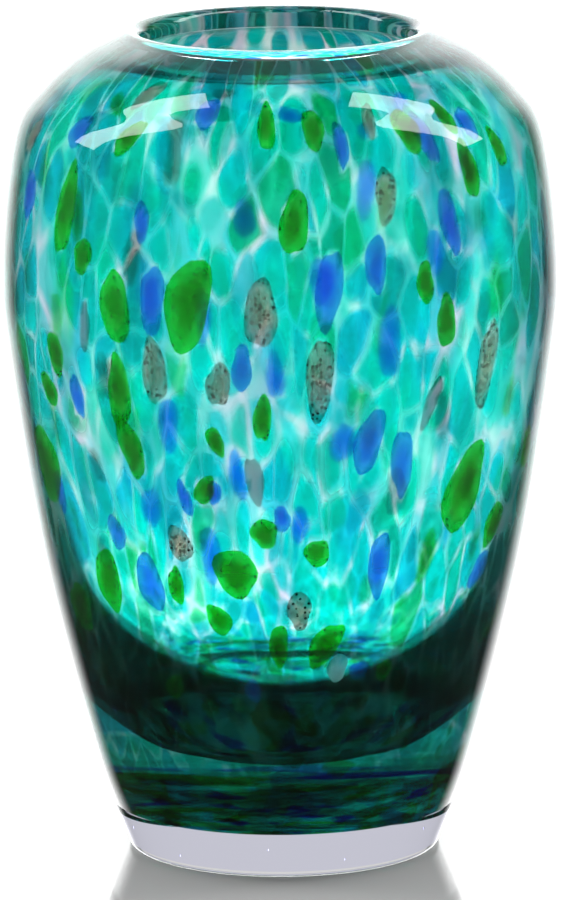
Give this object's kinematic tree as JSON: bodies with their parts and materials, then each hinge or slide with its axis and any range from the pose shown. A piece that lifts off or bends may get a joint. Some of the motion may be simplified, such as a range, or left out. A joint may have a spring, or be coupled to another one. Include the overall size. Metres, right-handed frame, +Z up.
{
  "type": "art glass vase",
  "caption": "Free-standing heavy cased glass vase with broad shoulders, a round mouth in the shoulder and a clear foot; holds flowers or stands empty.",
  "frame": {"origin": "centre of the ground underside, on the plane that the vase stands on", "axes": "+Z up along the vase's axis of revolution, which is also its longest extent; -Y is the front"},
  "size_m": [0.1686, 0.1686, 0.25],
  "materials": {
    "teal_gather_glass": "fire polished, transparent teal",
    "turquoise_frit": "translucent turquoise frit, fused",
    "opal_frit": "milky opal frit, fused",
    "green_frit": "translucent emerald green frit, fused",
    "cobalt_frit": "translucent cobalt blue frit, fused",
    "aventurine_frit": "copper aventurine with metallic glitter, fused",
    "clear_crystal": "clear, fire polished; underside ground and polished flat"
  },
  "bodies": {
    "root": {"first_gather": "teal_gather_glass", "turquoise_skin": "turquoise_frit", "opal_chips": "opal_frit", "green_chips": "green_frit", "cobalt_chips": "cobalt_frit", "aventurine_chips": "aventurine_frit", "clear_casing": "clear_crystal", "clear_foot": "clear_crystal"}
  },
  "joints": []
}
